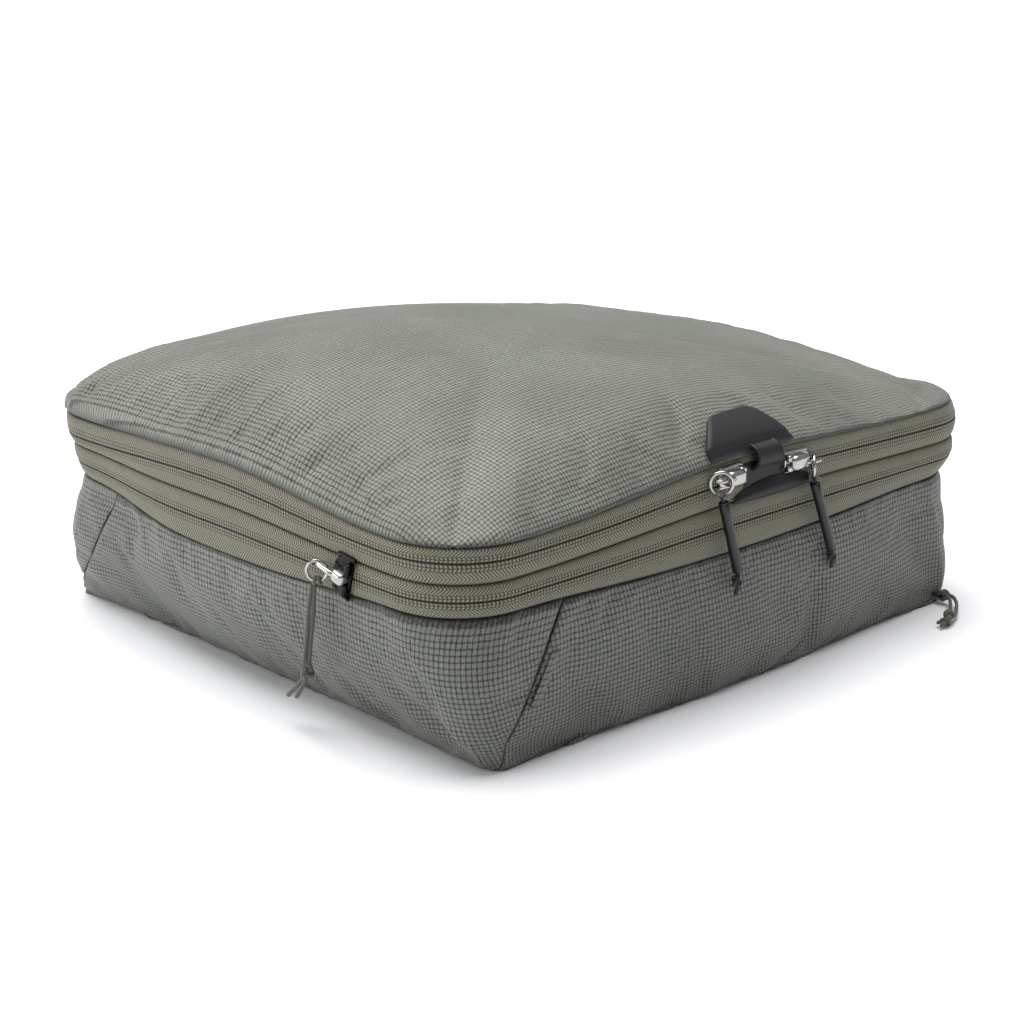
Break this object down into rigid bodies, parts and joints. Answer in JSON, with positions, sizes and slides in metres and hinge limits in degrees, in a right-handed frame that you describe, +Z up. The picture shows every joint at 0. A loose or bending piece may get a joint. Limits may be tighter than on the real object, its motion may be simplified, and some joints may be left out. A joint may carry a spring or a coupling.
{
  "type": "packing cube",
  "caption": "Soft zipped packing cube with a domed lid hinged at the back, a compression zip over a folded gusset, and cord pulls on its sliders.",
  "frame": {"origin": "on the floor, under the middle of the cube's bottom panel", "axes": "+Z up; +X along the front from the viewer's left to right; the front with the two main sliders faces -Y and the lid's hinge is at +Y"},
  "size_m": [0.3557, 0.3332, 0.1419],
  "materials": {
    "ripstop": "coated ripstop nylon, sage grey, dull sheen",
    "zip_tape": "herringbone polyester zip tape, matt",
    "coil": "spiral nylon coil, satin",
    "gusset": "thin ripstop nylon",
    "black_tpu": "smooth coated patch material, matt black",
    "nickel": "polished nickel plate",
    "dark_nickel": "polished dark nickel plate",
    "rubber": "smooth moulded sleeve, satin black",
    "black_cord": "braided cord, black",
    "olive_cord": "braided cord, olive grey"
  },
  "bodies": {
    "tub": {"bottom_panel": "ripstop", "front_wall": "ripstop", "right_wall": "ripstop", "back_wall": "ripstop", "left_wall": "ripstop", "seam_label": "ripstop", "compression_lower_tape": "zip_tape", "compression_lower_coil": "coil", "corner_tab": "black_tpu", "corner_loop_cord": "olive_cord", "corner_loop_knot": "olive_cord"},
    "upper_ring": {"compression_upper_tape": "zip_tape", "compression_upper_coil": "coil", "main_lower_tape": "zip_tape", "main_lower_coil": "coil", "hinge_strip": "ripstop", "expansion_gusset": "gusset", "grab_tab": "black_tpu"},
    "lid": {"lid_panel": "ripstop", "main_upper_tape": "zip_tape", "main_upper_coil": "coil", "front_patch": "black_tpu", "strap_tongue": "black_tpu"},
    "main_slider_left": {"main_slider_left": "nickel"},
    "main_pull_left": {"main_pull_left_ring": "nickel", "main_pull_left_cord": "black_cord", "main_pull_left_sleeve": "rubber", "main_pull_left_knot": "black_cord"},
    "main_slider_right": {"main_slider_right": "nickel"},
    "main_pull_right": {"main_pull_right_ring": "nickel", "main_pull_right_cord": "black_cord", "main_pull_right_sleeve": "rubber", "main_pull_right_knot": "black_cord"},
    "compression_slider": {"compression_slider": "dark_nickel"},
    "compression_pull": {"compression_pull_ring": "nickel", "compression_pull_cord": "olive_cord", "compression_pull_knot": "olive_cord"}
  },
  "joints": [
    {"name": "expansion_rise", "type": "slide", "parent": "tub", "child": "upper_ring", "axis": [0, 0, 1], "range_m": [0, 0.035], "deforming": ["expansion_gusset"]},
    {"name": "lid_hinge", "type": "hinge", "parent": "upper_ring", "child": "lid", "pos_m": [0, 0.1517, 0.0988], "axis": [-1, 0, 0], "range_deg": [0, 170]},
    {"name": "main_slider_left_travel", "type": "slide", "parent": "upper_ring", "child": "main_slider_left", "axis": [-0.9985, 0, -0.0539], "range_m": [0, 0.1]},
    {"name": "main_pull_left_swing", "type": "hinge", "parent": "main_slider_left", "child": "main_pull_left", "pos_m": [-0.0248, -0.1571, 0.0964], "axis": [-1, 0, 0], "range_deg": [0, 150]},
    {"name": "main_slider_right_travel", "type": "slide", "parent": "upper_ring", "child": "main_slider_right", "axis": [0.9996, 0, -0.0282], "range_m": [0, 0.085]},
    {"name": "main_pull_right_swing", "type": "hinge", "parent": "main_slider_right", "child": "main_pull_right", "pos_m": [0.0352, -0.1571, 0.0928], "axis": [-1, 0, 0], "range_deg": [0, 150]},
    {"name": "compression_slider_travel", "type": "slide", "parent": "tub", "child": "compression_slider", "axis": [0, 1, 0.0067], "range_m": [0, 0.18]},
    {"name": "compression_pull_swing", "type": "hinge", "parent": "compression_slider", "child": "compression_pull", "pos_m": [-0.1793, -0.077, 0.0756], "axis": [0, 1, 0], "range_deg": [0, 150]}
  ]
}
